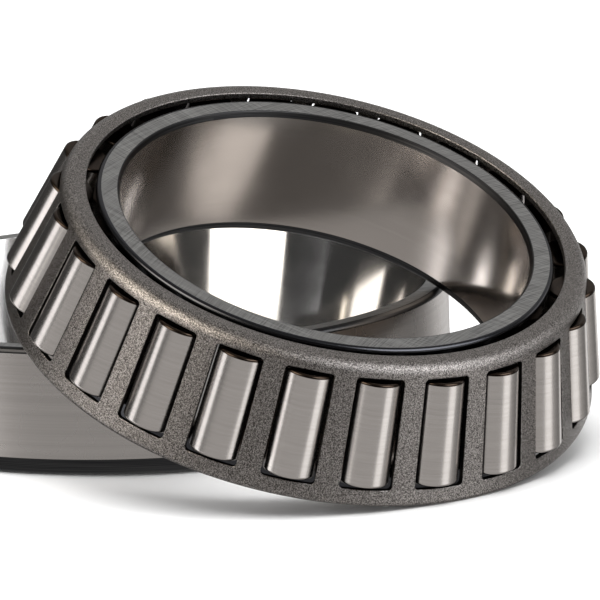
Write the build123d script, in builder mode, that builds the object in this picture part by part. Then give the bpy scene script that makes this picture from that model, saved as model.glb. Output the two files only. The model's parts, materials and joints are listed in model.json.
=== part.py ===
from build123d import *

# A separable tapered roller bearing. The cup (outer ring) lies flat on its back face, and the cone
# assembly (inner ring, tapered rollers and pressed cage) leans on the cup's front rim with its small
# end up and its large cage rim on the same surface. Millimetres, +Z up, and the lowest points are at
# Z = 0. The origin is under the middle of the whole arrangement, and -Y is the side it leans to.

import os
from math import atan, cos, radians, sin, sqrt, tan

os.makedirs("parts", exist_ok=True)

# ---- driving dimensions ----------------------------------------------------------------------
bore_diameter = 85.725        # inner ring bore, 3 3/8 in
outside_diameter = 133.35     # cup outside diameter, 5 1/4 in
cone_width = 30.1625          # inner ring width, 1 3/16 in
cup_width = 26.9875           # cup width, 1 1/16 in

roller_count = 24
roller_axis_angle = 14.05     # degrees from the bearing axis to a roller's own axis
pitch_radius = 54.8           # bearing axis to the middle of a roller
roller_mid_radius = 5.25
roller_length = 21.8
roller_mid_depth = 14.2       # from the cone's small face to the middle of a roller
roller_corner = 0.6
first_roller_turn = 8.31      # degrees from the low side of the lean to the first roller

back_corner = 2.7             # bore corner radius at the cone's back face
bore_lead_in = 0.55           # radial size of the bevel at the mouth of the bore
bore_lead_in_depth = 1.2
large_rib_radius = 55.6
small_rib_radius = 47.9
rib_corner = 1.0
raceway_gap = 0.03            # running clearance between a roller and the inner raceway
large_rib_gap = 0.12          # between a roller's large end and the guiding rib
small_rib_gap = 0.4           # between a roller's small end and the retaining rib
relief_depth = 0.35           # grinding relief at both ends of the inner raceway
relief_width = 1.1

cup_front_corner = 1.2
cup_back_corner = 3.8
cup_mouth_radius = 62.2       # where the raceway opens through the cup's front face
cup_inner_bevel = 1.2

cage_sheet = 1.5
roller_stand_out = 1.75       # how far the rollers stand proud of the cage's outer surface
cage_flange_radius = 50.1     # free inner edge of the in-turned flange
cage_flange_proud = 0.3       # flange surface above the cone's small face
cage_bend = 3.0               # outside radius of the shoulder
cage_end_depth = 28.4         # large rim, from the cone's small face
cage_rim_round = 1.0
pocket_top_depth = 2.37       # small end of a pocket, from the cone's small face
pocket_bottom_depth = 24.65
pocket_side_gap = 0.02        # pocket half-width less the roller's radius at the same place
pocket_corner = 0.8

lean_angle = 23.47            # between the cone's axis and the vertical
cone_set_back = 59.0          # cup axis to the middle of the cone's back face, along the floor

# ---- raceway geometry: every raceway and roller line meets the bearing axis at one apex --------
lean = radians(lean_angle)
axis_angle = radians(roller_axis_angle)
apex_to_middle = pitch_radius / sin(axis_angle)
half_angle = atan(roller_mid_radius / apex_to_middle)
cup_angle = axis_angle + half_angle
cone_angle = axis_angle - half_angle
apex_height = cone_width - roller_mid_depth + pitch_radius / tan(axis_angle)

bore_radius = bore_diameter / 2
cup_radius = outside_diameter / 2
near_end = apex_to_middle - roller_length / 2
far_end = apex_to_middle + roller_length / 2
roller_small_radius = near_end * tan(half_angle)
roller_large_radius = far_end * tan(half_angle)


def on_raceway(distance):
    """Radius and height of a point of the inner raceway, under the roller section so far from the apex."""
    along = distance / cos(half_angle)
    gap = raceway_gap
    radius = along * sin(cone_angle) - gap * cos(cone_angle)
    return radius, apex_height - along * cos(cone_angle) - gap * sin(cone_angle)


def cage_radius(depth):
    """Outside radius of the cage's conical wall at a depth below the cone's small face."""
    height = cone_width - depth
    return (apex_height - height) * tan(cup_angle) - roller_stand_out / cos(cup_angle)


# ---- where the pieces stand ------------------------------------------------------------------
# The cage's large rim is rounded, and its lowest point touches the floor.
round_height = cone_width - cage_end_depth + cage_rim_round
round_radius = cage_radius(cage_end_depth - cage_rim_round) - cage_rim_round / cos(cup_angle)
back_face_lift = cage_rim_round + round_radius * sin(lean) - round_height * cos(lean)

# The furthest point towards -Y is on the small end of the roller nearest the low side.
side_turn = radians(360 / roller_count - first_roller_turn)
tip_radius = pitch_radius - roller_length / 2 * sin(axis_angle)
tip_height = cone_width - roller_mid_depth + roller_length / 2 * cos(axis_angle)
axis_forward = cos(axis_angle) * sin(lean) - sin(axis_angle) * cos(lean) * cos(side_turn)
corner_inset = roller_corner
tip_forward = (
    tip_radius * cos(side_turn) * cos(lean)
    + (tip_height - corner_inset * cos(axis_angle)) * sin(lean)
    + corner_inset * sin(axis_angle) * cos(side_turn) * cos(lean)
    + (roller_small_radius - corner_inset) * sqrt(1 - axis_forward**2)
    + corner_inset
)
front_reach = cone_set_back + tip_forward
centre_shift = (front_reach - cup_radius) / 2

cup_plane = Plane(origin=(0, centre_shift, 0))
cone_plane = Plane(
    origin=(0, centre_shift - cone_set_back, back_face_lift),
    x_dir=(0, -cos(lean), -sin(lean)),
    z_dir=(0, -sin(lean), cos(lean)),
)


def section_of(plane):
    """The half-section plane of a turned piece: X is the radius and Y is the height along its axis."""
    return Plane(origin=plane.origin, x_dir=plane.x_dir, z_dir=-plane.y_dir)


def axis_of(plane):
    return Axis(plane.origin, plane.z_dir)


def circle_edges(piece, plane, radius, height):
    """The circular edges of a turned piece with this radius at this height on its axis."""
    near = 0.02

    def matches(edge):
        level = plane.to_local_coords(edge.arc_center).Z
        return abs(edge.radius - radius) < near and abs(level - height) < near

    return piece.edges().filter_by(GeomType.CIRCLE).filter_by(matches)


# ---- cup --------------------------------------------------------------------------------------
cup_back_radius = cup_mouth_radius - cup_width * tan(cup_angle)
with BuildPart() as cup:
    with BuildSketch(section_of(cup_plane)):
        with BuildLine():
            Polyline(
                (cup_back_radius, 0),
                (cup_radius, 0),
                (cup_radius, cup_width),
                (cup_mouth_radius, cup_width),
                close=True,
            )
        make_face()
    revolve(axis=axis_of(cup_plane))
    fillet(circle_edges(cup, cup_plane, cup_radius, 0), cup_back_corner)
    fillet(circle_edges(cup, cup_plane, cup_radius, cup_width), cup_front_corner)
    chamfer(circle_edges(cup, cup_plane, cup_back_radius, 0), cup_inner_bevel)
cup.part.label = "cup"
export_step(cup.part, "parts/cup.step")

# ---- inner ring -------------------------------------------------------------------------------
# The ribs' inner faces stand square to a roller's axis, just past its ends.
race_low = on_raceway(far_end + large_rib_gap)
race_high = on_raceway(near_end - small_rib_gap)
face_slope = tan(axis_angle)
large_rib_top = race_low[1] + (large_rib_radius - race_low[0]) * face_slope
small_rib_foot = race_high[1] + (small_rib_radius - race_high[0]) * face_slope
relief_low = on_raceway(far_end + large_rib_gap - relief_width)
relief_high = on_raceway(near_end - small_rib_gap + relief_width)
with BuildPart() as inner_ring:
    with BuildSketch(section_of(cone_plane)):
        with BuildLine():
            Polyline(
                (bore_radius, 0),
                (large_rib_radius, 0),
                (large_rib_radius, large_rib_top),
                race_low,
                (race_low[0] - relief_depth, race_low[1]),
                (relief_low[0] - relief_depth, relief_low[1]),
                relief_low,
                relief_high,
                (relief_high[0] - relief_depth, relief_high[1]),
                (race_high[0] - relief_depth, race_high[1]),
                race_high,
                (small_rib_radius, small_rib_foot),
                (small_rib_radius, cone_width),
                (bore_radius + bore_lead_in, cone_width),
                (bore_radius, cone_width - bore_lead_in_depth),
                close=True,
            )
        make_face()
    revolve(axis=axis_of(cone_plane))
    fillet(circle_edges(inner_ring, cone_plane, bore_radius, 0), back_corner)
    fillet(circle_edges(inner_ring, cone_plane, large_rib_radius, 0), rib_corner)
    fillet(circle_edges(inner_ring, cone_plane, small_rib_radius, cone_width), rib_corner)
inner_ring.part.label = "inner_ring"
export_step(inner_ring.part, "parts/inner_ring.step")

# ---- cage -------------------------------------------------------------------------------------
# A pressed bowl of even sheet: a conical wall, a shoulder bend and an in-turned flange.
flange_height = cone_width + cage_flange_proud
flange_outer = cage_radius(-cage_flange_proud)
wall_inset = cage_sheet / cos(cup_angle)
inner_bend_radius = cage_radius(cage_sheet - cage_flange_proud) - wall_inset
rim_height = cone_width - cage_end_depth
rim_radius = cage_radius(cage_end_depth)


def roller_turn(index):
    """Angle of a roller about the cone's axis, from the low side of the lean."""
    return first_roller_turn + index * 360 / roller_count


def pocket_plane(turn):
    """Lies on the cage's wall over a roller: X runs round the cage and Y up the wall to the small end."""
    angle = radians(turn)
    middle_depth = (pocket_top_depth + pocket_bottom_depth) / 2
    radius = cage_radius(middle_depth)
    centre = (radius * cos(angle), radius * sin(angle), cone_width - middle_depth)
    outward = (cos(cup_angle) * cos(angle), cos(cup_angle) * sin(angle), sin(cup_angle))
    local = Plane(origin=centre, x_dir=(-sin(angle), cos(angle), 0), z_dir=outward)
    return Plane(cone_plane.location * local.location)


half_wall = (pocket_bottom_depth - pocket_top_depth) / cos(cup_angle) / 2
half_top = roller_small_radius - pocket_side_gap
half_bottom = roller_large_radius - pocket_side_gap
with BuildPart() as cage:
    with BuildSketch(section_of(cone_plane)):
        with BuildLine():
            Polyline(
                (cage_flange_radius, flange_height),
                (flange_outer, flange_height),
                (rim_radius, rim_height),
                (rim_radius - wall_inset, rim_height),
                (inner_bend_radius, flange_height - cage_sheet),
                (cage_flange_radius, flange_height - cage_sheet),
                close=True,
            )
        make_face()
    revolve(axis=axis_of(cone_plane))
    fillet(circle_edges(cage, cone_plane, flange_outer, flange_height), cage_bend)
    inner_corner = circle_edges(cage, cone_plane, inner_bend_radius, flange_height - cage_sheet)
    fillet(inner_corner, cage_bend - cage_sheet)
    fillet(circle_edges(cage, cone_plane, rim_radius, rim_height), cage_rim_round)
    for index in range(roller_count):
        with BuildSketch(pocket_plane(roller_turn(index))) as pocket:
            with BuildLine():
                Polyline(
                    (-half_bottom, -half_wall),
                    (half_bottom, -half_wall),
                    (half_top, half_wall),
                    (-half_top, half_wall),
                    close=True,
                )
            make_face()
            fillet(pocket.vertices(), pocket_corner)
        extrude(amount=2 * cage_sheet, both=True, mode=Mode.SUBTRACT)
cage.part.label = "cage"
export_step(cage.part, "parts/cage.step")


# ---- rollers ----------------------------------------------------------------------------------
def roller_plane(turn):
    """Stands at a roller's middle with Z along its axis towards the small end."""
    angle = radians(turn)
    centre = (
        pitch_radius * cos(angle),
        pitch_radius * sin(angle),
        cone_width - roller_mid_depth,
    )
    to_small_end = (-sin(axis_angle) * cos(angle), -sin(axis_angle) * sin(angle), cos(axis_angle))
    local = Plane(origin=centre, x_dir=(-sin(angle), cos(angle), 0), z_dir=to_small_end)
    return Plane(cone_plane.location * local.location)


for index in range(roller_count):
    name = f"roller_{index + 1:02d}"
    plane = roller_plane(roller_turn(index))
    with BuildPart() as roller:
        with BuildSketch(section_of(plane)):
            with BuildLine():
                Polyline(
                    (0, -roller_length / 2),
                    (roller_large_radius, -roller_length / 2),
                    (roller_small_radius, roller_length / 2),
                    (0, roller_length / 2),
                    close=True,
                )
            make_face()
        revolve(axis=axis_of(plane))
        fillet(circle_edges(roller, plane, roller_large_radius, -roller_length / 2), roller_corner)
        fillet(circle_edges(roller, plane, roller_small_radius, roller_length / 2), roller_corner)
    roller.part.label = name
    export_step(roller.part, f"parts/{name}.step")
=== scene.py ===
import json
from math import asin, atan, atan2, ceil, cos, pi, radians, sin, tan

import bpy
import numpy as np
from mathutils import Matrix, Vector


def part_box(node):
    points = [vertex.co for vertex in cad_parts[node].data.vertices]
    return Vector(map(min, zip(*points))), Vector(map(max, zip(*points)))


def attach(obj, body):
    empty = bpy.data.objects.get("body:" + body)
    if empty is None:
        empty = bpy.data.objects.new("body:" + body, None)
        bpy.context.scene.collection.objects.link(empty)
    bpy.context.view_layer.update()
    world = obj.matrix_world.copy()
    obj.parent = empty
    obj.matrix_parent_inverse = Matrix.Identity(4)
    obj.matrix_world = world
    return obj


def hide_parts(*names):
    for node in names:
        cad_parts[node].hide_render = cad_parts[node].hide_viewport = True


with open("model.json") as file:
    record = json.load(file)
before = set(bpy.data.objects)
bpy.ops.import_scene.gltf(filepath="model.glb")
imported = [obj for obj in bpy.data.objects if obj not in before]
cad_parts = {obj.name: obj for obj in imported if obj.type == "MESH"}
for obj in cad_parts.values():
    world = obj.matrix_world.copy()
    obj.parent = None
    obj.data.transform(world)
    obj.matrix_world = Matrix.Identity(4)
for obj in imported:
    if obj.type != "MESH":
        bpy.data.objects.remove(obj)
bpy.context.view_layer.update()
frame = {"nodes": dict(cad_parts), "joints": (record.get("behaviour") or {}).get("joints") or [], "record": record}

# ---- sizes, in metres ---------------------------------------------------------------------------
MM = 0.001
mounts = {mount["name"]: mount for mount in frame["record"]["mounts"]}
joints = {joint["name"]: joint for joint in frame["joints"]}
roller_names = sorted(node for node in frame["nodes"] if node.startswith("roller_"))

CUP_RADIUS = mounts["cup_outside"]["dims"]["r_mm"] * MM
BORE_RADIUS = mounts["cone_bore"]["dims"]["r_mm"] * MM
CUP_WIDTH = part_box("cup")[1].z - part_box("cup")[0].z
CONE_WIDTH = 30.1625 * MM
CUP_MOUTH_RADIUS = 62.2 * MM
CUP_BACK_ROUND = 3.8 * MM
CUP_FRONT_ROUND = 1.2 * MM
CUP_BEVEL = 1.2 * MM
CONE_BACK_ROUND = 2.7 * MM
CONE_RIB_ROUND = 1.0 * MM
CONE_BEVEL = 1.2 * MM
CONE_BEVEL_WIDTH = 0.55 * MM
LARGE_RIB_RADIUS = 55.6 * MM
SMALL_RIB_RADIUS = 47.9 * MM
RELIEF_DEPTH = 0.35 * MM
RELIEF_WIDTH = 1.1 * MM
RACEWAY_GAP = 0.03 * MM
LARGE_END_PLAY = 0.12 * MM
SMALL_END_PLAY = 0.4 * MM

ROLLER_AXIS_ANGLE = radians(14.05)
PITCH_RADIUS = 54.8 * MM
ROLLER_MID_RADIUS = 5.25 * MM
ROLLER_LENGTH = 21.8 * MM
ROLLER_MID_DEPTH = 14.2 * MM
ROLLER_CORNER = 0.6 * MM
DISH_DEPTH = 0.35 * MM
DISH_RADIUS = 2.2 * MM
DISH_RIM_RADIUS = 2.6 * MM
SMALL_DISH_DEPTH = 0.3 * MM
SMALL_DISH_RADIUS = 1.2 * MM
DISH_ROUND = 0.2 * MM

ROLLER_STAND_OUT = 1.75 * MM
CAGE_SHEET = 1.5 * MM
CAGE_FLANGE_RADIUS = 50.1 * MM
CAGE_FLANGE_PROUD = 0.3 * MM
CAGE_BEND = 3.0 * MM
CAGE_END_DEPTH = 28.4 * MM
CAGE_RIM_ROUND = 1.0 * MM
CAGE_RIM_INNER_ROUND = 0.2 * MM
POCKET_TOP_DEPTH = 2.37 * MM
POCKET_BOTTOM_DEPTH = 24.65 * MM
POCKET_SIDE_GAP = 0.02 * MM
POCKET_CORNER = 0.8 * MM
POCKET_EDGE = 0.2 * MM
ABOVE_POCKETS = 0.12 * MM
BELOW_POCKETS = 0.9 * MM

EDGE_BREAK = 0.12 * MM      # the small round on edges that look sharp
FACE_BREAK = 0.3 * MM       # the round on edges that catch a thin line of light
WITHIN = 0.01 * MM          # the visual surfaces stay this much inside the CAD ones

RING_SEGMENTS = 288
ROLLER_SEGMENTS = 72
ARC_STEP = radians(9)       # the largest turn between two points of a rounded corner
CORNER_STEPS = 6            # points round a pocket's corner, along its side and along its end
SIDE_STEPS = 14
END_STEPS = 10
EDGE_STEPS = 3
ROWS_PER_SKIN = 3

apex_to_middle = PITCH_RADIUS / sin(ROLLER_AXIS_ANGLE)
half_angle = atan(ROLLER_MID_RADIUS / apex_to_middle)
cup_angle = ROLLER_AXIS_ANGLE + half_angle
cone_angle = ROLLER_AXIS_ANGLE - half_angle
apex_height = CONE_WIDTH - ROLLER_MID_DEPTH + PITCH_RADIUS / tan(ROLLER_AXIS_ANGLE)
near_end = apex_to_middle - ROLLER_LENGTH / 2
far_end = apex_to_middle + ROLLER_LENGTH / 2
small_radius = near_end * tan(half_angle)
large_radius = far_end * tan(half_angle)
sector = 2 * pi / len(roller_names)


# ---- frames of the pieces -----------------------------------------------------------------------
def placed(origin, axis, toward):
    """A matrix whose Z runs along axis and whose X points as nearly as it can toward a direction."""
    z = Vector(axis).normalized()
    x = Vector(toward)
    x = (x - z * x.dot(z)).normalized()
    y = z.cross(x)
    matrix = Matrix((x, y, z)).transposed().to_4x4()
    matrix.translation = origin
    return matrix


cup_axis = Vector(mounts["cup_outside"]["pos_m"])
cup_frame = placed((cup_axis.x, cup_axis.y, 0), (0, 0, 1), (0, -1, 0))
lean_axis = Vector(mounts["cone_bore"]["axis"])
bore_point = Vector(mounts["cone_bore"]["pos_m"])
small_face_height = (Vector(mounts["cone_small_face"]["pos_m"]) - bore_point).dot(lean_axis)
cone_origin = bore_point + lean_axis * (small_face_height - CONE_WIDTH)
cone_frame = placed(cone_origin, lean_axis, (0, -1, 0))


# ---- outlines and meshes ------------------------------------------------------------------------
def corner_round(before, here, after, size, steps=None):
    """Centre, side and normals of the round at a corner; the side is -1 where the corner is hollow."""
    back = (before - here) / np.linalg.norm(before - here)
    on = (after - here) / np.linalg.norm(after - here)
    turn = atan2(back[1] * on[0] - back[0] * on[1], -back @ on)
    side = 1 if turn > 0 else -1
    x, y = -back[1], back[0]
    centre = here + back * size * tan(abs(turn) / 2) - np.array((x, y)) * size * side
    if steps is None:
        steps = max(2, ceil(abs(turn) / ARC_STEP))
    angles = [turn * k / steps for k in range(steps + 1)]
    normals = [np.array((x * cos(a) - y * sin(a), x * sin(a) + y * cos(a))) for a in angles]
    return centre, side, normals


def rounded_outline(corners, closed=True):
    """Points, outward normals and materials along an outline whose corners are all rounded.

    Each corner is (radius, height, round, round's material, following edge's material). The outline runs
    with the metal on its left. An open outline keeps its two end points as they are.
    """
    places = [np.array(corner[:2]) for corner in corners]
    count = len(corners)
    points, normals, materials = [], [], []
    for index, (_, _, size, round_material, edge_material) in enumerate(corners):
        here = places[index]
        if not closed and index in (0, count - 1):
            along = places[1] - here if index == 0 else here - places[count - 2]
            along = along / np.linalg.norm(along)
            points.append(here)
            normals.append(np.array((along[1], -along[0])))
            materials.append(edge_material)
            continue
        centre, side, turned_normals = corner_round(
            places[index - 1], here, places[(index + 1) % count], size
        )
        points += [centre + normal * size * side for normal in turned_normals]
        normals += turned_normals
        materials += [round_material] * (len(turned_normals) - 1) + [edge_material]
    return np.array(points), np.array(normals), materials


def face_without_repeats(face):
    """A face's vertices, less any that two rows share."""
    return [vertex for index, vertex in enumerate(face) if vertex != face[index - 1]]


def smooth_mesh(name, vertices, faces, normals, face_materials, materials, frame_matrix):
    """An object with exact surface normals, its points given in the frame of frame_matrix.

    Two point attributes serve the materials: own_place, the place in the piece's own frame, and
    around, the direction round the piece's own Z axis.
    """
    turn = np.array(frame_matrix.to_3x3())
    around = np.stack((-vertices[:, 1], vertices[:, 0], np.zeros(len(vertices))), axis=1)
    around_scale = 20       # so that the vectors aren't tiny; only their direction counts
    mesh = bpy.data.meshes.new(name)
    mesh.from_pydata((vertices @ turn.T + np.array(frame_matrix.translation)).tolist(), [], faces)
    for attribute, values in (("own_place", vertices), ("around", around @ turn.T * around_scale)):
        layer = mesh.attributes.new(attribute, "FLOAT_VECTOR", "POINT")
        layer.data.foreach_set("vector", np.ascontiguousarray(values, np.float32).ravel())
    for material in materials:
        mesh.materials.append(material)
    mesh.polygons.foreach_set("material_index", np.array(face_materials, np.int32))
    mesh.polygons.foreach_set("use_smooth", np.ones(len(faces), bool))
    mesh.update()
    lengths = np.linalg.norm(normals, axis=1, keepdims=True)
    mesh.normals_split_custom_set_from_vertices((normals / lengths @ turn.T).tolist())
    piece = bpy.data.objects.new(name, mesh)
    bpy.context.scene.collection.objects.link(piece)
    return piece


def turned(name, corners, materials, frame_matrix, segments, closed=True):
    """A piece of revolution about its own Z axis."""
    outline, outline_normals, outline_materials = rounded_outline(corners, closed)
    vertices, normals, rows = [], [], []
    for (r, z), (nr, nz) in zip(outline, outline_normals):
        if r < 1e-9:        # an end point on the axis is one vertex
            rows.append([len(vertices)] * segments)
            vertices.append((0, 0, z))
            normals.append((0, 0, nz))
            continue
        rows.append(range(len(vertices), len(vertices) + segments))
        for k in range(segments):
            angle = 2 * pi * k / segments
            vertices.append((r * cos(angle), r * sin(angle), z))
            normals.append((nr * cos(angle), nr * sin(angle), nz))
    faces, face_materials = [], []
    count = len(rows)
    for i in range(count if closed else count - 1):
        low, high = rows[i], rows[(i + 1) % count]
        for k in range(segments):
            n = (k + 1) % segments
            faces.append(face_without_repeats([low[k], low[n], high[n], high[k]]))
            face_materials.append(outline_materials[i])
    return smooth_mesh(
        name, np.array(vertices), faces, np.array(normals), face_materials, materials, frame_matrix
    )


def take_place(piece, node):
    """The piece rides on a node's body and stands in for that node, whose own mesh is hidden."""
    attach(piece, node)
    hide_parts(node)


# ---- materials ----------------------------------------------------------------------------------
class Shader:
    """A material's node tree with short ways to add what every metal here needs."""

    def __init__(self, name):
        self.material = bpy.data.materials.new(name)
        self.material.use_nodes = True
        self.nodes = self.material.node_tree.nodes
        self.links = self.material.node_tree.links
        self.nodes.clear()
        self.output = self.nodes.new("ShaderNodeOutputMaterial")
        self.surface = self.nodes.new("ShaderNodeBsdfPrincipled")
        self.links.new(self.surface.outputs[0], self.output.inputs[0])
        self.place = self.attribute("own_place")

    def attribute(self, name):
        node = self.nodes.new("ShaderNodeAttribute")
        node.attribute_name = name
        return node.outputs["Vector"]

    def value(self, socket, value):
        """Sets a socket to a constant, or links it to another node's output."""
        if isinstance(value, (int, float, tuple)):
            socket.default_value = value
        else:
            self.links.new(value, socket)

    def math(self, operation, a, b=0.0):
        node = self.nodes.new("ShaderNodeMath")
        node.operation = operation
        self.value(node.inputs[0], a)
        self.value(node.inputs[1], b)
        return node.outputs[0]

    def times(self, a, b):
        return self.math("MULTIPLY", a, b)

    def weighed(self, a, b, share_of_a):
        """A blend of two numbers."""
        return self.math("ADD", self.times(a, share_of_a), self.times(b, 1 - share_of_a))

    def length(self, x, y):
        """The length of a vector in a plane."""
        return self.math("SQRT", self.math("ADD", self.times(x, x), self.times(y, y)))

    def mix(self, factor, a, b):
        node = self.nodes.new("ShaderNodeMix")
        node.data_type = "RGBA"
        self.value(node.inputs[0], factor)
        self.value(node.inputs[6], a)
        self.value(node.inputs[7], b)
        return node.outputs[2]

    def ramp(self, value, low, high, to_low=0.0, to_high=1.0):
        node = self.nodes.new("ShaderNodeMapRange")
        self.value(node.inputs[0], value)
        for index, number in enumerate((low, high, to_low, to_high), 1):
            node.inputs[index].default_value = number
        return node.outputs[0]

    def noise(self, vector, scale, detail=2.0, roughness=0.5):
        node = self.nodes.new("ShaderNodeTexNoise")
        self.value(node.inputs["Vector"], vector)
        node.inputs["Scale"].default_value = scale
        node.inputs["Detail"].default_value = detail
        node.inputs["Roughness"].default_value = roughness
        return node.outputs[0]

    def separated(self, vector):
        node = self.nodes.new("ShaderNodeSeparateXYZ")
        self.links.new(vector, node.inputs[0])
        return node.outputs

    def joined(self, *numbers):
        node = self.nodes.new("ShaderNodeCombineXYZ")
        for socket, number in zip(node.inputs, numbers):
            self.value(socket, number)
        return node.outputs[0]

    def round_axis(self, turns, along, across):
        """Coordinates (angle, height, radius) about the piece's own Z, each with its own scale."""
        x, y, z = self.separated(self.place)
        radius = self.length(x, y)
        angle = self.math("ARCTAN2", y, x)
        return self.joined(self.times(angle, turns), self.times(z, along), self.times(radius, across))

    def bump(self, height, distance, strength=1.0, normal=None):
        node = self.nodes.new("ShaderNodeBump")
        node.inputs["Strength"].default_value = strength
        node.inputs["Distance"].default_value = distance
        self.value(node.inputs["Height"], height)
        if normal is not None:
            self.links.new(normal, node.inputs["Normal"])
        return node.outputs[0]

    def finish(self, colour, roughness, normal=None, metallic=1.0, anisotropic=0.0):
        """Connects the surface; an anisotropic one is brushed round the piece's axis."""
        self.value(self.surface.inputs["Base Color"], colour)
        self.value(self.surface.inputs["Roughness"], roughness)
        self.surface.inputs["Metallic"].default_value = metallic
        if normal is not None:
            self.links.new(normal, self.surface.inputs["Normal"])
        if anisotropic:
            tangent = self.nodes.new("ShaderNodeVectorTransform")
            tangent.vector_type = "VECTOR"
            tangent.convert_from = "OBJECT"
            tangent.convert_to = "WORLD"
            self.links.new(self.attribute("around"), tangent.inputs[0])
            self.links.new(tangent.outputs[0], self.surface.inputs["Tangent"])
            self.surface.inputs["Anisotropic"].default_value = anisotropic
        return self.material


def ground_round(name, light, dark, rough, line_depth=0.0, along_axis=False):
    """Ground steel with fine lines running round the piece's axis."""
    shader = Shader(name)
    fine = shader.noise(shader.round_axis(0.8, 9000, 9000), 1.0, detail=3.0, roughness=0.7)
    coarse = shader.noise(shader.round_axis(0.3, 1300, 1300), 1.0)
    cloud = shader.noise(shader.place, 60, detail=3.0, roughness=0.6)
    tone = shader.weighed(fine, coarse, 0.6)
    colour = shader.mix(shader.ramp(tone, 0.35, 0.65), dark, light)
    roughness = shader.ramp(cloud, 0.3, 0.7, rough - 0.03, rough + 0.03)
    normal = shader.bump(tone, line_depth) if line_depth else None
    if along_axis:
        shader.surface.inputs["Anisotropic Rotation"].default_value = 0.25
    return shader.finish(colour, roughness, normal, anisotropic=0.6)


def wheel_arcs(shader, centre_x, centre_y):
    """Fine lines along arcs about a point of the face's plane, as a grinding wheel leaves them."""
    x, y, _ = shader.separated(shader.place)
    dx = shader.math("SUBTRACT", x, centre_x)
    dy = shader.math("SUBTRACT", y, centre_y)
    distance = shader.length(dx, dy)
    angle = shader.math("ARCTAN2", dy, dx)
    lines = shader.joined(shader.times(distance, 4200), shader.times(angle, 12))
    return shader.noise(lines, 1.0, detail=3.0, roughness=0.65)


def ground_face(name, light, dark, rough):
    """A flat face ground by a wheel that leaves long shallow arcs across the ring."""
    shader = Shader(name)
    first = wheel_arcs(shader, 0.16, 0.05)
    second = wheel_arcs(shader, -0.1, 0.19)
    lines = shader.weighed(first, second, 0.55)
    colour = shader.mix(shader.ramp(lines, 0.35, 0.65), dark, light)
    roughness = shader.ramp(lines, 0.3, 0.7, rough + 0.05, rough - 0.05)
    return shader.finish(colour, roughness, shader.bump(lines, 1.5e-6))


def blasted_sheet(name, light, dark):
    """Pressed sheet, shot-blasted and phosphated: dull, grainy, with brighter worn specks."""
    shader = Shader(name)
    grain = shader.noise(shader.place, 6500, detail=1.0)
    pits = shader.noise(shader.place, 2800, roughness=0.55)
    tone = shader.weighed(grain, pits, 0.7)
    colour = shader.mix(shader.ramp(tone, 0.43, 0.63), dark, light)
    roughness = shader.ramp(grain, 0.3, 0.7, 0.42, 0.28)
    normal = shader.bump(grain, 75e-6)
    normal = shader.bump(pits, 60e-6, strength=0.5, normal=normal)
    return shader.finish(colour, roughness, normal)


def punched_edge(name, light, dark):
    """The sheared walls of the pockets, dark and slightly shiny."""
    shader = Shader(name)
    marks = shader.noise(shader.place, 2500)
    colour = shader.mix(shader.ramp(marks, 0.35, 0.65), dark, light)
    return shader.finish(colour, 0.55, shader.bump(marks, 20e-6))


def scaled_corner(name, light, dark):
    """Corners left dark from heat treatment, with turning marks."""
    shader = Shader(name)
    lines = shader.noise(shader.round_axis(2.0, 3500, 3500), 1.0, detail=3.0, roughness=0.6)
    colour = shader.mix(shader.ramp(lines, 0.35, 0.7), dark, light)
    roughness = shader.ramp(lines, 0.3, 0.7, 0.42, 0.3)
    return shader.finish(colour, roughness, shader.bump(lines, 6e-6), anisotropic=0.4)


outside_steel = ground_round(
    "cup_outside_steel", (0.56, 0.52, 0.49, 1), (0.46, 0.425, 0.40, 1), 0.27, line_depth=0.6e-6
)
bore_steel = ground_round("bore_steel", (0.52, 0.47, 0.43, 1), (0.48, 0.43, 0.395, 1), 0.17)
raceway_steel = ground_round(
    "raceway_steel", (0.74, 0.72, 0.70, 1), (0.68, 0.66, 0.64, 1), 0.1, along_axis=True
)
rib_steel = ground_round(
    "rib_steel", (0.08, 0.08, 0.086, 1), (0.035, 0.035, 0.038, 1), 0.2, line_depth=0.6e-6
)
face_steel = ground_face("face_steel", (0.56, 0.55, 0.535, 1), (0.13, 0.128, 0.124, 1), 0.34)
corner_steel = scaled_corner("corner_steel", (0.075, 0.073, 0.072, 1), (0.022, 0.022, 0.024, 1))
cage_steel = blasted_sheet("cage_blasted", (0.62, 0.57, 0.535, 1), (0.06, 0.053, 0.048, 1))
pocket_steel = punched_edge("pocket_wall", (0.02, 0.019, 0.018, 1), (0.006, 0.006, 0.006, 1))
roller_steel = ground_round("roller_ground", (0.66, 0.61, 0.575, 1), (0.58, 0.535, 0.50, 1), 0.21)
# roller ends: brown unground steel, with the colour darkened as painted shade so that the ends look black in the
# gap between the inner ring and the cage
roller_end_brown_and_painted_shade = ground_round(
    "roller_end_brown_and_painted_shade", (0.06, 0.042, 0.03, 1), (0.03, 0.021, 0.016, 1), 0.2, line_depth=0.6e-6
)

# the places of the rings' materials in each ring's list
GROUND, FACE, CORNER, RACE, RIB = range(5)


# ---- cup ----------------------------------------------------------------------------------------
def build_cup():
    """The outer ring, lying on its thick end, with its raceway widening upwards."""
    back_radius = CUP_MOUTH_RADIUS - CUP_WIDTH * tan(cup_angle)
    outside = CUP_RADIUS - WITHIN
    top = CUP_WIDTH - WITHIN
    cup = turned(
        "cup_ring",
        [
            (back_radius + CUP_BEVEL, WITHIN, EDGE_BREAK, CORNER, FACE),
            (outside, WITHIN, CUP_BACK_ROUND - WITHIN, CORNER, GROUND),
            (outside, top, CUP_FRONT_ROUND - WITHIN, CORNER, FACE),
            (CUP_MOUTH_RADIUS + WITHIN, top, FACE_BREAK, FACE, RACE),
            (back_radius + CUP_BEVEL * tan(cup_angle) + WITHIN, CUP_BEVEL, EDGE_BREAK, CORNER, CORNER),
        ],
        [outside_steel, face_steel, corner_steel, raceway_steel],
        cup_frame,
        RING_SEGMENTS,
    )
    take_place(cup, "cup")


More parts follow.
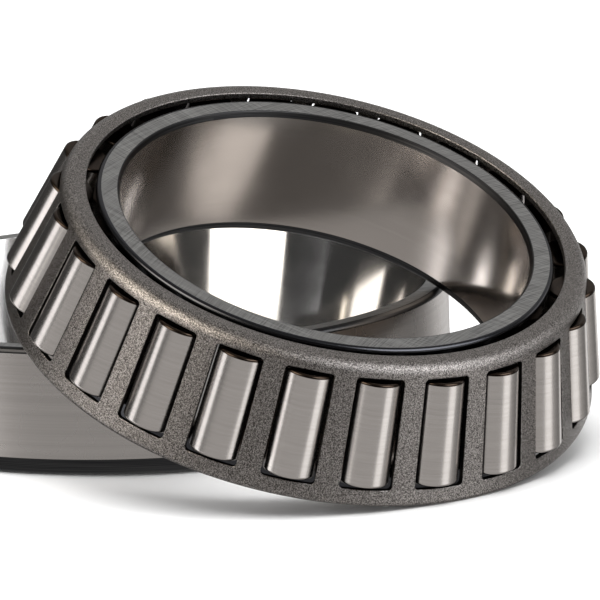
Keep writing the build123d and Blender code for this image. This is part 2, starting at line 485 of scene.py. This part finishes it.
# ---- inner ring ---------------------------------------------------------------------------------
def on_raceway(distance):
    """Radius and height of the inner raceway, under the roller section so far from the apex."""
    along = distance / cos(half_angle)
    radius = along * sin(cone_angle) - RACEWAY_GAP * cos(cone_angle)
    return radius, apex_height - along * cos(cone_angle) - RACEWAY_GAP * sin(cone_angle)


def build_inner_ring():
    """The cone: bore, two ribs, and a raceway with a relief groove beside each rib."""
    low_r, low_z = on_raceway(far_end + LARGE_END_PLAY)
    high_r, high_z = on_raceway(near_end - SMALL_END_PLAY)
    relief_low_r, relief_low_z = on_raceway(far_end + LARGE_END_PLAY - RELIEF_WIDTH)
    relief_high_r, relief_high_z = on_raceway(near_end - SMALL_END_PLAY + RELIEF_WIDTH)
    face_slope = tan(ROLLER_AXIS_ANGLE)
    large_rib_top = low_z + (LARGE_RIB_RADIUS - low_r) * face_slope
    small_rib_foot = high_z + (SMALL_RIB_RADIUS - high_r) * face_slope
    bore = BORE_RADIUS + WITHIN
    large_rib = LARGE_RIB_RADIUS - WITHIN
    small_rib = SMALL_RIB_RADIUS - WITHIN
    top = CONE_WIDTH - WITHIN
    inner_ring = turned(
        "cone_ring",
        [
            (bore, WITHIN, CONE_BACK_ROUND - WITHIN, CORNER, FACE),
            (large_rib, WITHIN, CONE_RIB_ROUND - WITHIN, CORNER, RIB),
            (large_rib, large_rib_top, EDGE_BREAK, RIB, RIB),
            (low_r, low_z, EDGE_BREAK, RIB, CORNER),
            (low_r - RELIEF_DEPTH, low_z, EDGE_BREAK, CORNER, CORNER),
            (relief_low_r - RELIEF_DEPTH, relief_low_z, EDGE_BREAK, CORNER, CORNER),
            (relief_low_r, relief_low_z, EDGE_BREAK, RACE, RACE),
            (relief_high_r, relief_high_z, EDGE_BREAK, RACE, CORNER),
            (relief_high_r - RELIEF_DEPTH, relief_high_z, EDGE_BREAK, CORNER, CORNER),
            (high_r - RELIEF_DEPTH, high_z, EDGE_BREAK, CORNER, CORNER),
            (high_r, high_z, EDGE_BREAK, RIB, RIB),
            (small_rib, small_rib_foot, EDGE_BREAK, RIB, RIB),
            (small_rib, top, CONE_RIB_ROUND - WITHIN, RIB, FACE),
            (BORE_RADIUS + CONE_BEVEL_WIDTH, top, FACE_BREAK, CORNER, CORNER),
            (bore, CONE_WIDTH - CONE_BEVEL, FACE_BREAK, CORNER, GROUND),
        ],
        [bore_steel, face_steel, corner_steel, raceway_steel, rib_steel],
        cone_frame,
        RING_SEGMENTS,
    )
    take_place(inner_ring, "inner_ring")


# ---- rollers ------------------------------------------------------------------------------------
def build_roller(name):
    """A tapered roller with rounded corners and dished ends, its large end down."""
    joint = joints[name + "_spin"]
    barrel, end = range(2)
    half = ROLLER_LENGTH / 2
    bottom = -half + WITHIN
    top = half - WITHIN
    roller = turned(
        name + "_body",
        [
            (0, -half + DISH_DEPTH, 0, end, end),
            (DISH_RADIUS, -half + DISH_DEPTH, DISH_ROUND, end, end),
            (DISH_RIM_RADIUS, bottom, DISH_ROUND, end, end),
            (large_radius - WITHIN, bottom, ROLLER_CORNER, barrel, barrel),
            (small_radius - WITHIN, top, ROLLER_CORNER, end, end),
            (SMALL_DISH_RADIUS, top, DISH_ROUND, end, end),
            (0, half - SMALL_DISH_DEPTH, 0, end, end),
        ],
        [roller_steel, roller_end_brown_and_painted_shade],
        placed(joint["pos_m"], joint["axis"], lean_axis),
        ROLLER_SEGMENTS,
        closed=False,
    )
    take_place(roller, name)


# ---- cage ---------------------------------------------------------------------------------------
middle_depth = (POCKET_TOP_DEPTH + POCKET_BOTTOM_DEPTH) / 2
half_wall = (POCKET_BOTTOM_DEPTH - POCKET_TOP_DEPTH) / cos(cup_angle) / 2
wall_top = half_wall + ABOVE_POCKETS
wall_bottom = -half_wall - BELOW_POCKETS
RUN_STEPS = (SIDE_STEPS, END_STEPS, SIDE_STEPS, END_STEPS)     # after each corner of a pocket


def wall_point(along, sink):
    """Radius and height of the cage's wall, up it from the pockets' middle and so deep in the sheet."""
    middle = (apex_height - CONE_WIDTH + middle_depth) * tan(cup_angle)
    middle -= ROLLER_STAND_OUT / cos(cup_angle)
    radius = middle - along * sin(cup_angle) - sink * cos(cup_angle)
    height = CONE_WIDTH - middle_depth + along * cos(cup_angle) - sink * sin(cup_angle)
    return radius, height


def pocket_outline(grow):
    """A pocket's outline, grown outwards, as points (across, along) and outward normals.

    It runs anticlockwise from the lower right corner. Along is measured up the wall from the pocket's
    middle, towards the small end.
    """
    half_top = small_radius - POCKET_SIDE_GAP
    half_bottom = large_radius - POCKET_SIDE_GAP
    corners = [(half_bottom, -half_wall), (half_top, half_wall)]
    corners += [(-half_top, half_wall), (-half_bottom, -half_wall)]
    corners = [np.array(corner) for corner in corners]
    arcs = []
    for index, here in enumerate(corners):
        centre, _, normals = corner_round(
            corners[index - 1], here, corners[(index + 1) % 4], POCKET_CORNER, CORNER_STEPS
        )
        arcs.append([(centre + normal * (POCKET_CORNER + grow), normal) for normal in normals])
    outline = []
    for index, arc in enumerate(arcs):
        start, normal = arc[-1]
        end = arcs[(index + 1) % 4][0][0]
        steps = RUN_STEPS[index]
        outline += arc
        outline += [(start + (end - start) * k / steps, normal) for k in range(1, steps)]
    points, outward = zip(*outline)
    return np.array(points), np.array(outward)


def sector_border():
    """(angle, along) of a sector's own border, point for point with the pocket's outline."""
    half = sector / 2
    corners = [(half, wall_bottom), (half, wall_top), (-half, wall_top), (-half, wall_bottom)]
    corners = [np.array(corner, float) for corner in corners]
    lead = CORNER_STEPS / 2
    points = []
    for index, here in enumerate(corners):
        before = corners[index - 1]
        after = corners[(index + 1) % 4]
        whole_in = RUN_STEPS[index - 1] + CORNER_STEPS
        whole_out = RUN_STEPS[index] + CORNER_STEPS
        for k in range(CORNER_STEPS + 1):
            if k <= lead:
                points.append(here + (before - here) * (lead - k) / whole_in)
            else:
                points.append(here + (after - here) * (k - lead) / whole_out)
        for k in range(1, RUN_STEPS[index]):
            points.append(here + (after - here) * (lead + k) / whole_out)
    return np.array(points)


class SheetMesh:
    """Gathers the cage's vertices, welding those that coincide, and its faces."""

    weld = 1e-7

    def __init__(self):
        self.index, self.vertices, self.normals, self.faces, self.materials = {}, [], [], [], []

    def add(self, point, normal):
        key = tuple(np.round(np.array(point) / self.weld).astype(int))
        if key not in self.index:
            self.index[key] = len(self.vertices)
            self.vertices.append(point)
            self.normals.append(normal)
        return self.index[key]

    def band(self, first, second, material=0):
        """Quads between two closed rows of vertices; the second is to the first's left, from outside."""
        count = len(first)
        for k in range(count):
            n = (k + 1) % count
            self.faces.append(face_without_repeats([first[k], first[n], second[n], second[k]]))
            self.materials.append(material)


def wall_vertex(sheet, turn, offset, along, sink, lean, flat):
    """A vertex of the wall at an angle from a pocket's middle.

    lean weighs the wall's normal and the direction into the pocket; flat is the pocket outline's own
    outward normal.
    """
    radius, height = wall_point(along, sink)
    angle = turn + offset
    skin = np.array((cos(cup_angle) * cos(angle), cos(cup_angle) * sin(angle), sin(cup_angle)))
    round_way = np.array((-sin(turn), cos(turn), 0.0))
    up_way = np.array((-sin(cup_angle) * cos(turn), -sin(cup_angle) * sin(turn), cos(cup_angle)))
    to_hole = -(round_way * flat[0] + up_way * flat[1])
    normal = skin * lean[0] + to_hole * lean[1]
    return sheet.add((radius * cos(angle), radius * sin(angle), height), normal)


def offset_of(across, along, sink):
    """The angle from a pocket's middle at a distance across it."""
    radius, _ = wall_point(along, sink)
    return asin(across / radius)


def skin_rows(sheet, turn, border, depth, sign):
    """Rows of one skin of a sector, from its border to the pocket and round the pocket's edge.

    The sign is 1 for the outer skin and -1 for the inner one.
    """
    start_points, outward = pocket_outline(POCKET_EDGE)
    offsets = np.array([(offset_of(x, along, depth), along) for x, along in start_points])
    rows = []
    for k in range(ROWS_PER_SKIN + 1):
        mixed = border + (offsets - border) * k / ROWS_PER_SKIN
        rows.append([wall_vertex(sheet, turn, a, t, depth, (sign, 0), (0, 0)) for a, t in mixed])
    for k in range(1, EDGE_STEPS + 1):
        angle = pi / 2 * k / EDGE_STEPS
        level = depth + sign * POCKET_EDGE * (1 - cos(angle))
        points, _ = pocket_outline(POCKET_EDGE * (1 - sin(angle)))
        lean = (sign * cos(angle), sin(angle))
        rows.append(
            [
                wall_vertex(sheet, turn, offset_of(x, along, level), along, level, lean, normal)
                for (x, along), normal in zip(points, outward)
            ]
        )
    return rows


def add_sector(sheet, turn, border):
    """The wall round one pocket: outer skin, pocket wall and inner skin in one run of rows."""
    outer = skin_rows(sheet, turn, border, WITHIN, 1)
    inner = skin_rows(sheet, turn, border, CAGE_SHEET - WITHIN, -1)
    rows = outer + inner[::-1]
    middle = len(outer) - 1
    for level, (first, second) in enumerate(zip(rows, rows[1:])):
        sheet.band(first, second, material=int(abs(level - middle) <= 1))


def meet(point, height):
    """The radius where the wall's line through a point reaches a height."""
    return point[0] + (point[1] - height) * tan(cup_angle)


def shoulder_outline():
    """The cage above the pockets: bend and in-turned flange."""
    outer = wall_point(wall_top, WITHIN)
    inner = wall_point(wall_top, CAGE_SHEET - WITHIN)
    flange_top = CONE_WIDTH + CAGE_FLANGE_PROUD - WITHIN
    flange_low = CONE_WIDTH + CAGE_FLANGE_PROUD - CAGE_SHEET + WITHIN
    return [
        (*outer, 0, 0, 0),
        (meet(outer, flange_top), flange_top, CAGE_BEND, 0, 0),
        (CAGE_FLANGE_RADIUS + WITHIN, flange_top, FACE_BREAK, 0, 0),
        (CAGE_FLANGE_RADIUS + WITHIN, flange_low, FACE_BREAK, 0, 0),
        (meet(inner, flange_low), flange_low, CAGE_BEND - CAGE_SHEET, 0, 0),
        (*inner, 0, 0, 0),
    ]


def rim_outline():
    """The cage below the pockets: a plain rim."""
    outer = wall_point(wall_bottom, WITHIN)
    inner = wall_point(wall_bottom, CAGE_SHEET - WITHIN)
    height = CONE_WIDTH - CAGE_END_DEPTH + WITHIN
    return [
        (*inner, 0, 0, 0),
        (meet(inner, height), height, CAGE_RIM_INNER_ROUND, 0, 0),
        (meet(outer, height), height, CAGE_RIM_ROUND, 0, 0),
        (*outer, 0, 0, 0),
    ]


def add_strip(sheet, outline, angles):
    """A strip of revolution that shares its first and last rows with the sectors' borders."""
    points, normals, _ = rounded_outline(outline, closed=False)
    previous = None
    for (r, z), (nr, nz) in zip(points, normals):
        row = [sheet.add((r * cos(a), r * sin(a), z), (nr * cos(a), nr * sin(a), nz)) for a in angles]
        if previous is not None:
            sheet.band(previous, row)
        previous = row


def turn_of(name):
    """Angle of a roller about the cone's axis, in the cone's frame."""
    local = cone_frame.inverted() @ Vector(joints[name + "_spin"]["pos_m"])
    return atan2(local.y, local.x)


def build_cage():
    """The pressed cage: a sector for each roller, then the flange and the rim."""
    sheet = SheetMesh()
    border = sector_border()
    first_turn = turn_of(roller_names[0])
    turns = [first_turn + index * sector for index in range(len(roller_names))]
    for turn in turns:
        add_sector(sheet, turn, border)
    top_angles = sorted({round(a, 12) for a, along in border if abs(along - wall_top) < 1e-12})
    angles = [turn + a for turn in turns for a in top_angles[:-1]]
    add_strip(sheet, shoulder_outline(), angles)
    add_strip(sheet, rim_outline(), angles)
    cage = smooth_mesh(
        "cage_sheet",
        np.array(sheet.vertices),
        sheet.faces,
        np.array(sheet.normals),
        sheet.materials,
        [cage_steel, pocket_steel],
        cone_frame,
    )
    take_place(cage, "cage")


build_cup()
build_inner_ring()
for roller_name in roller_names:
    build_roller(roller_name)
build_cage()


# ---- floor, camera and light --------------------------------------------------------------------
scene = bpy.context.scene
scene.view_settings.view_transform = "Standard"

FLOOR_REACH = 6.0
CAMERA_AZIMUTH = -34.88
CAMERA_ELEVATION = 11.9
CAMERA_ROLL = radians(-2.0)
CAMERA_DISTANCE = 1.2968
CAMERA_LENS = 360
AIM_RIGHT = 33.85 * MM      # from the foot of the cup's axis to the middle of the picture
AIM_UP = 22.58 * MM

FLOOR_SKY = 0.92            # how bright the surround is for the floor
TABLE_GLOW = 0.42           # how bright the metal mirrors the table in front, the walls and the ceiling
TABLE_EDGE = 0.12
ROOM_WALLS = 0.04
ROOM_TOP = 0.14


def direction(azimuth, elevation):
    """A unit vector from the object towards a light or camera; azimuth 0 is in front, towards -Y."""
    a, e = radians(azimuth), radians(elevation)
    return Vector((sin(a) * cos(e), -cos(a) * cos(e), sin(e)))


def build_floor():
    """A pale floor, hidden from mirror rays, since the photo's steel shows dark surroundings."""
    mesh = bpy.data.meshes.new("floor")
    corners = [(x * FLOOR_REACH, y * FLOOR_REACH, 0) for x, y in ((-1, -1), (1, -1), (1, 1), (-1, 1))]
    mesh.from_pydata(corners, [], [(0, 1, 2, 3)])
    floor = bpy.data.objects.new("floor", mesh)
    scene.collection.objects.link(floor)
    shader = Shader("floor_white")
    mesh.materials.append(shader.finish((0.95, 0.95, 0.95, 1), 0.6, metallic=0.0))
    floor.visible_glossy = False


def place_camera():
    """The camera at the photo's angle, with a long lens."""
    data = bpy.data.cameras.new("camera")
    data.lens = CAMERA_LENS
    data.sensor_width = 36
    data.clip_end = 30
    camera = bpy.data.objects.new("camera", data)
    scene.collection.objects.link(camera)
    back = direction(CAMERA_AZIMUTH, CAMERA_ELEVATION)
    level_right = Vector((0, 0, 1)).cross(back).normalized()
    level_up = back.cross(level_right)
    right = level_right * cos(CAMERA_ROLL) + level_up * sin(CAMERA_ROLL)
    up = back.cross(right)
    aim = Vector((0, cup_axis.y, 0)) + right * AIM_RIGHT + up * AIM_UP
    matrix = Matrix((right, up, back)).transposed().to_4x4()
    matrix.translation = aim + back * CAMERA_DISTANCE
    camera.matrix_world = matrix
    scene.camera = camera


class WorldNodes:
    """The world's node tree, with short ways to add what the studio needs."""

    def __init__(self):
        world = bpy.data.worlds.new("studio")
        scene.world = world
        world.use_nodes = True
        self.nodes = world.node_tree.nodes
        self.links = world.node_tree.links
        self.background = self.nodes["Background"]
        self.place = self.nodes.new("ShaderNodeTexCoord").outputs["Generated"]

    def toward(self, azimuth, elevation, low, high, to_low, to_high):
        """A value that changes smoothly with the angle from one direction."""
        dot = self.nodes.new("ShaderNodeVectorMath")
        dot.operation = "DOT_PRODUCT"
        self.links.new(self.place, dot.inputs[0])
        dot.inputs[1].default_value = direction(azimuth, elevation)
        ramp = self.nodes.new("ShaderNodeMapRange")
        ramp.interpolation_type = "SMOOTHSTEP"
        self.links.new(dot.outputs["Value"], ramp.inputs[0])
        for index, number in enumerate((low, high, to_low, to_high), 1):
            ramp.inputs[index].default_value = number
        return ramp.outputs[0]

    def patch(self, room, azimuth, elevation, spread, strength):
        """The room with one bright round patch, whose half width is spread in degrees."""
        edge = cos(radians(spread))
        fade = (1 - edge) * 0.6
        return self.math("ADD", room, self.toward(azimuth, elevation, edge - fade, edge, 0, strength))

    def math(self, operation, a, b):
        node = self.nodes.new("ShaderNodeMath")
        node.operation = operation
        self.links.new(a, node.inputs[0])
        self.links.new(b, node.inputs[1])
        return node.outputs[0]

    def choice(self, factor, otherwise, chosen):
        """One of two colours, each a constant or another node's output."""
        node = self.nodes.new("ShaderNodeMix")
        node.data_type = "RGBA"
        self.links.new(factor, node.inputs[0])
        for socket, colour in ((node.inputs[6], otherwise), (node.inputs[7], chosen)):
            if isinstance(colour, tuple):
                socket.default_value = colour
            else:
                self.links.new(colour, socket)
        return node.outputs[2]


def studio_world():
    """White to the eye and nearly so to the floor; what the metal mirrors is a dim room."""
    world = WorldNodes()
    below = world.toward(0, -90, -0.02, 0.12, 0, 1)
    glow = world.toward(-25, -20, -0.5, 0.5, TABLE_EDGE, TABLE_GLOW)
    above = world.toward(0, 90, 0.3, 0.9, ROOM_WALLS, ROOM_TOP)
    room = world.math("ADD", world.math("MULTIPLY", below, glow), above)
    room = world.patch(room, azimuth=135, elevation=40, spread=35, strength=0.34)
    room = world.patch(room, azimuth=88, elevation=14, spread=10, strength=1.0)
    room = world.patch(room, azimuth=-163, elevation=-20, spread=4.5, strength=1.5)
    room = world.patch(room, azimuth=118, elevation=-12, spread=14, strength=0.8)
    room = world.patch(room, azimuth=-95, elevation=-15, spread=6, strength=0.6)
    path = world.nodes.new("ShaderNodeLightPath")
    sky = (FLOOR_SKY, FLOOR_SKY, FLOOR_SKY, 1)
    seen = world.choice(path.outputs["Is Camera Ray"], sky, (1, 1, 1, 1))
    light = world.choice(path.outputs["Is Glossy Ray"], seen, room)
    world.links.new(light, world.background.inputs[0])
    world.background.inputs[1].default_value = 1.0


def strip_light(name, place, width, low, high, brightness, tint):
    """A tall soft box facing the object; it may reach below the floor, as its mirror image would."""
    height = high - low
    data = bpy.data.lights.new(name, "AREA")
    data.shape = "RECTANGLE"
    data.size = width
    data.size_y = height
    data.energy = brightness * width * height * pi**2       # watts
    data.color = tint
    light = bpy.data.objects.new(name, data)
    scene.collection.objects.link(light)
    light.location = (place[0], place[1], (low + high) / 2)
    facing = Vector((-place[0], -place[1], 0))
    light.rotation_euler = facing.to_track_quat("-Z", "Y").to_euler()
    light.visible_diffuse = False


def floor_light(size, watts, azimuth, elevation, distance):
    """A broad soft light from above and the left, for the floor and its shadows only."""
    data = bpy.data.lights.new("floor_light", "AREA")
    data.size = size
    data.energy = watts
    light = bpy.data.objects.new("floor_light", data)
    scene.collection.objects.link(light)
    light.location = direction(azimuth, elevation) * distance
    light.rotation_euler = (-light.location).to_track_quat("-Z", "Y").to_euler()
    light.visible_glossy = False


build_floor()
place_camera()
studio_world()
strip_light(
    "left_low",
    place=(-0.50, 0.22),
    width=0.22,
    low=-0.20,
    high=0.12,
    brightness=0.50,
    tint=(0.97, 0.98, 1.0),
)
strip_light(
    "left_box",
    place=(-0.50, -0.03),
    width=0.32,
    low=0.15,
    high=0.62,
    brightness=0.95,
    tint=(1.0, 0.96, 0.90),
)
strip_light(
    "left_high",
    place=(-0.48, -0.05),
    width=0.50,
    low=0.34,
    high=0.70,
    brightness=1.30,
    tint=(1.0, 0.93, 0.80),
)
strip_light(
    "right_box",
    place=(0.26, -0.50),
    width=0.32,
    low=-0.40,
    high=0.20,
    brightness=0.26,
    tint=(0.96, 0.98, 1.0),
)
strip_light(
    "right_high",
    place=(0.22, -0.50),
    width=0.44,
    low=0.20,
    high=0.62,
    brightness=1.50,
    tint=(0.93, 0.96, 1.0),
)
floor_light(size=1.7, watts=38, azimuth=-60, elevation=72, distance=1.6)
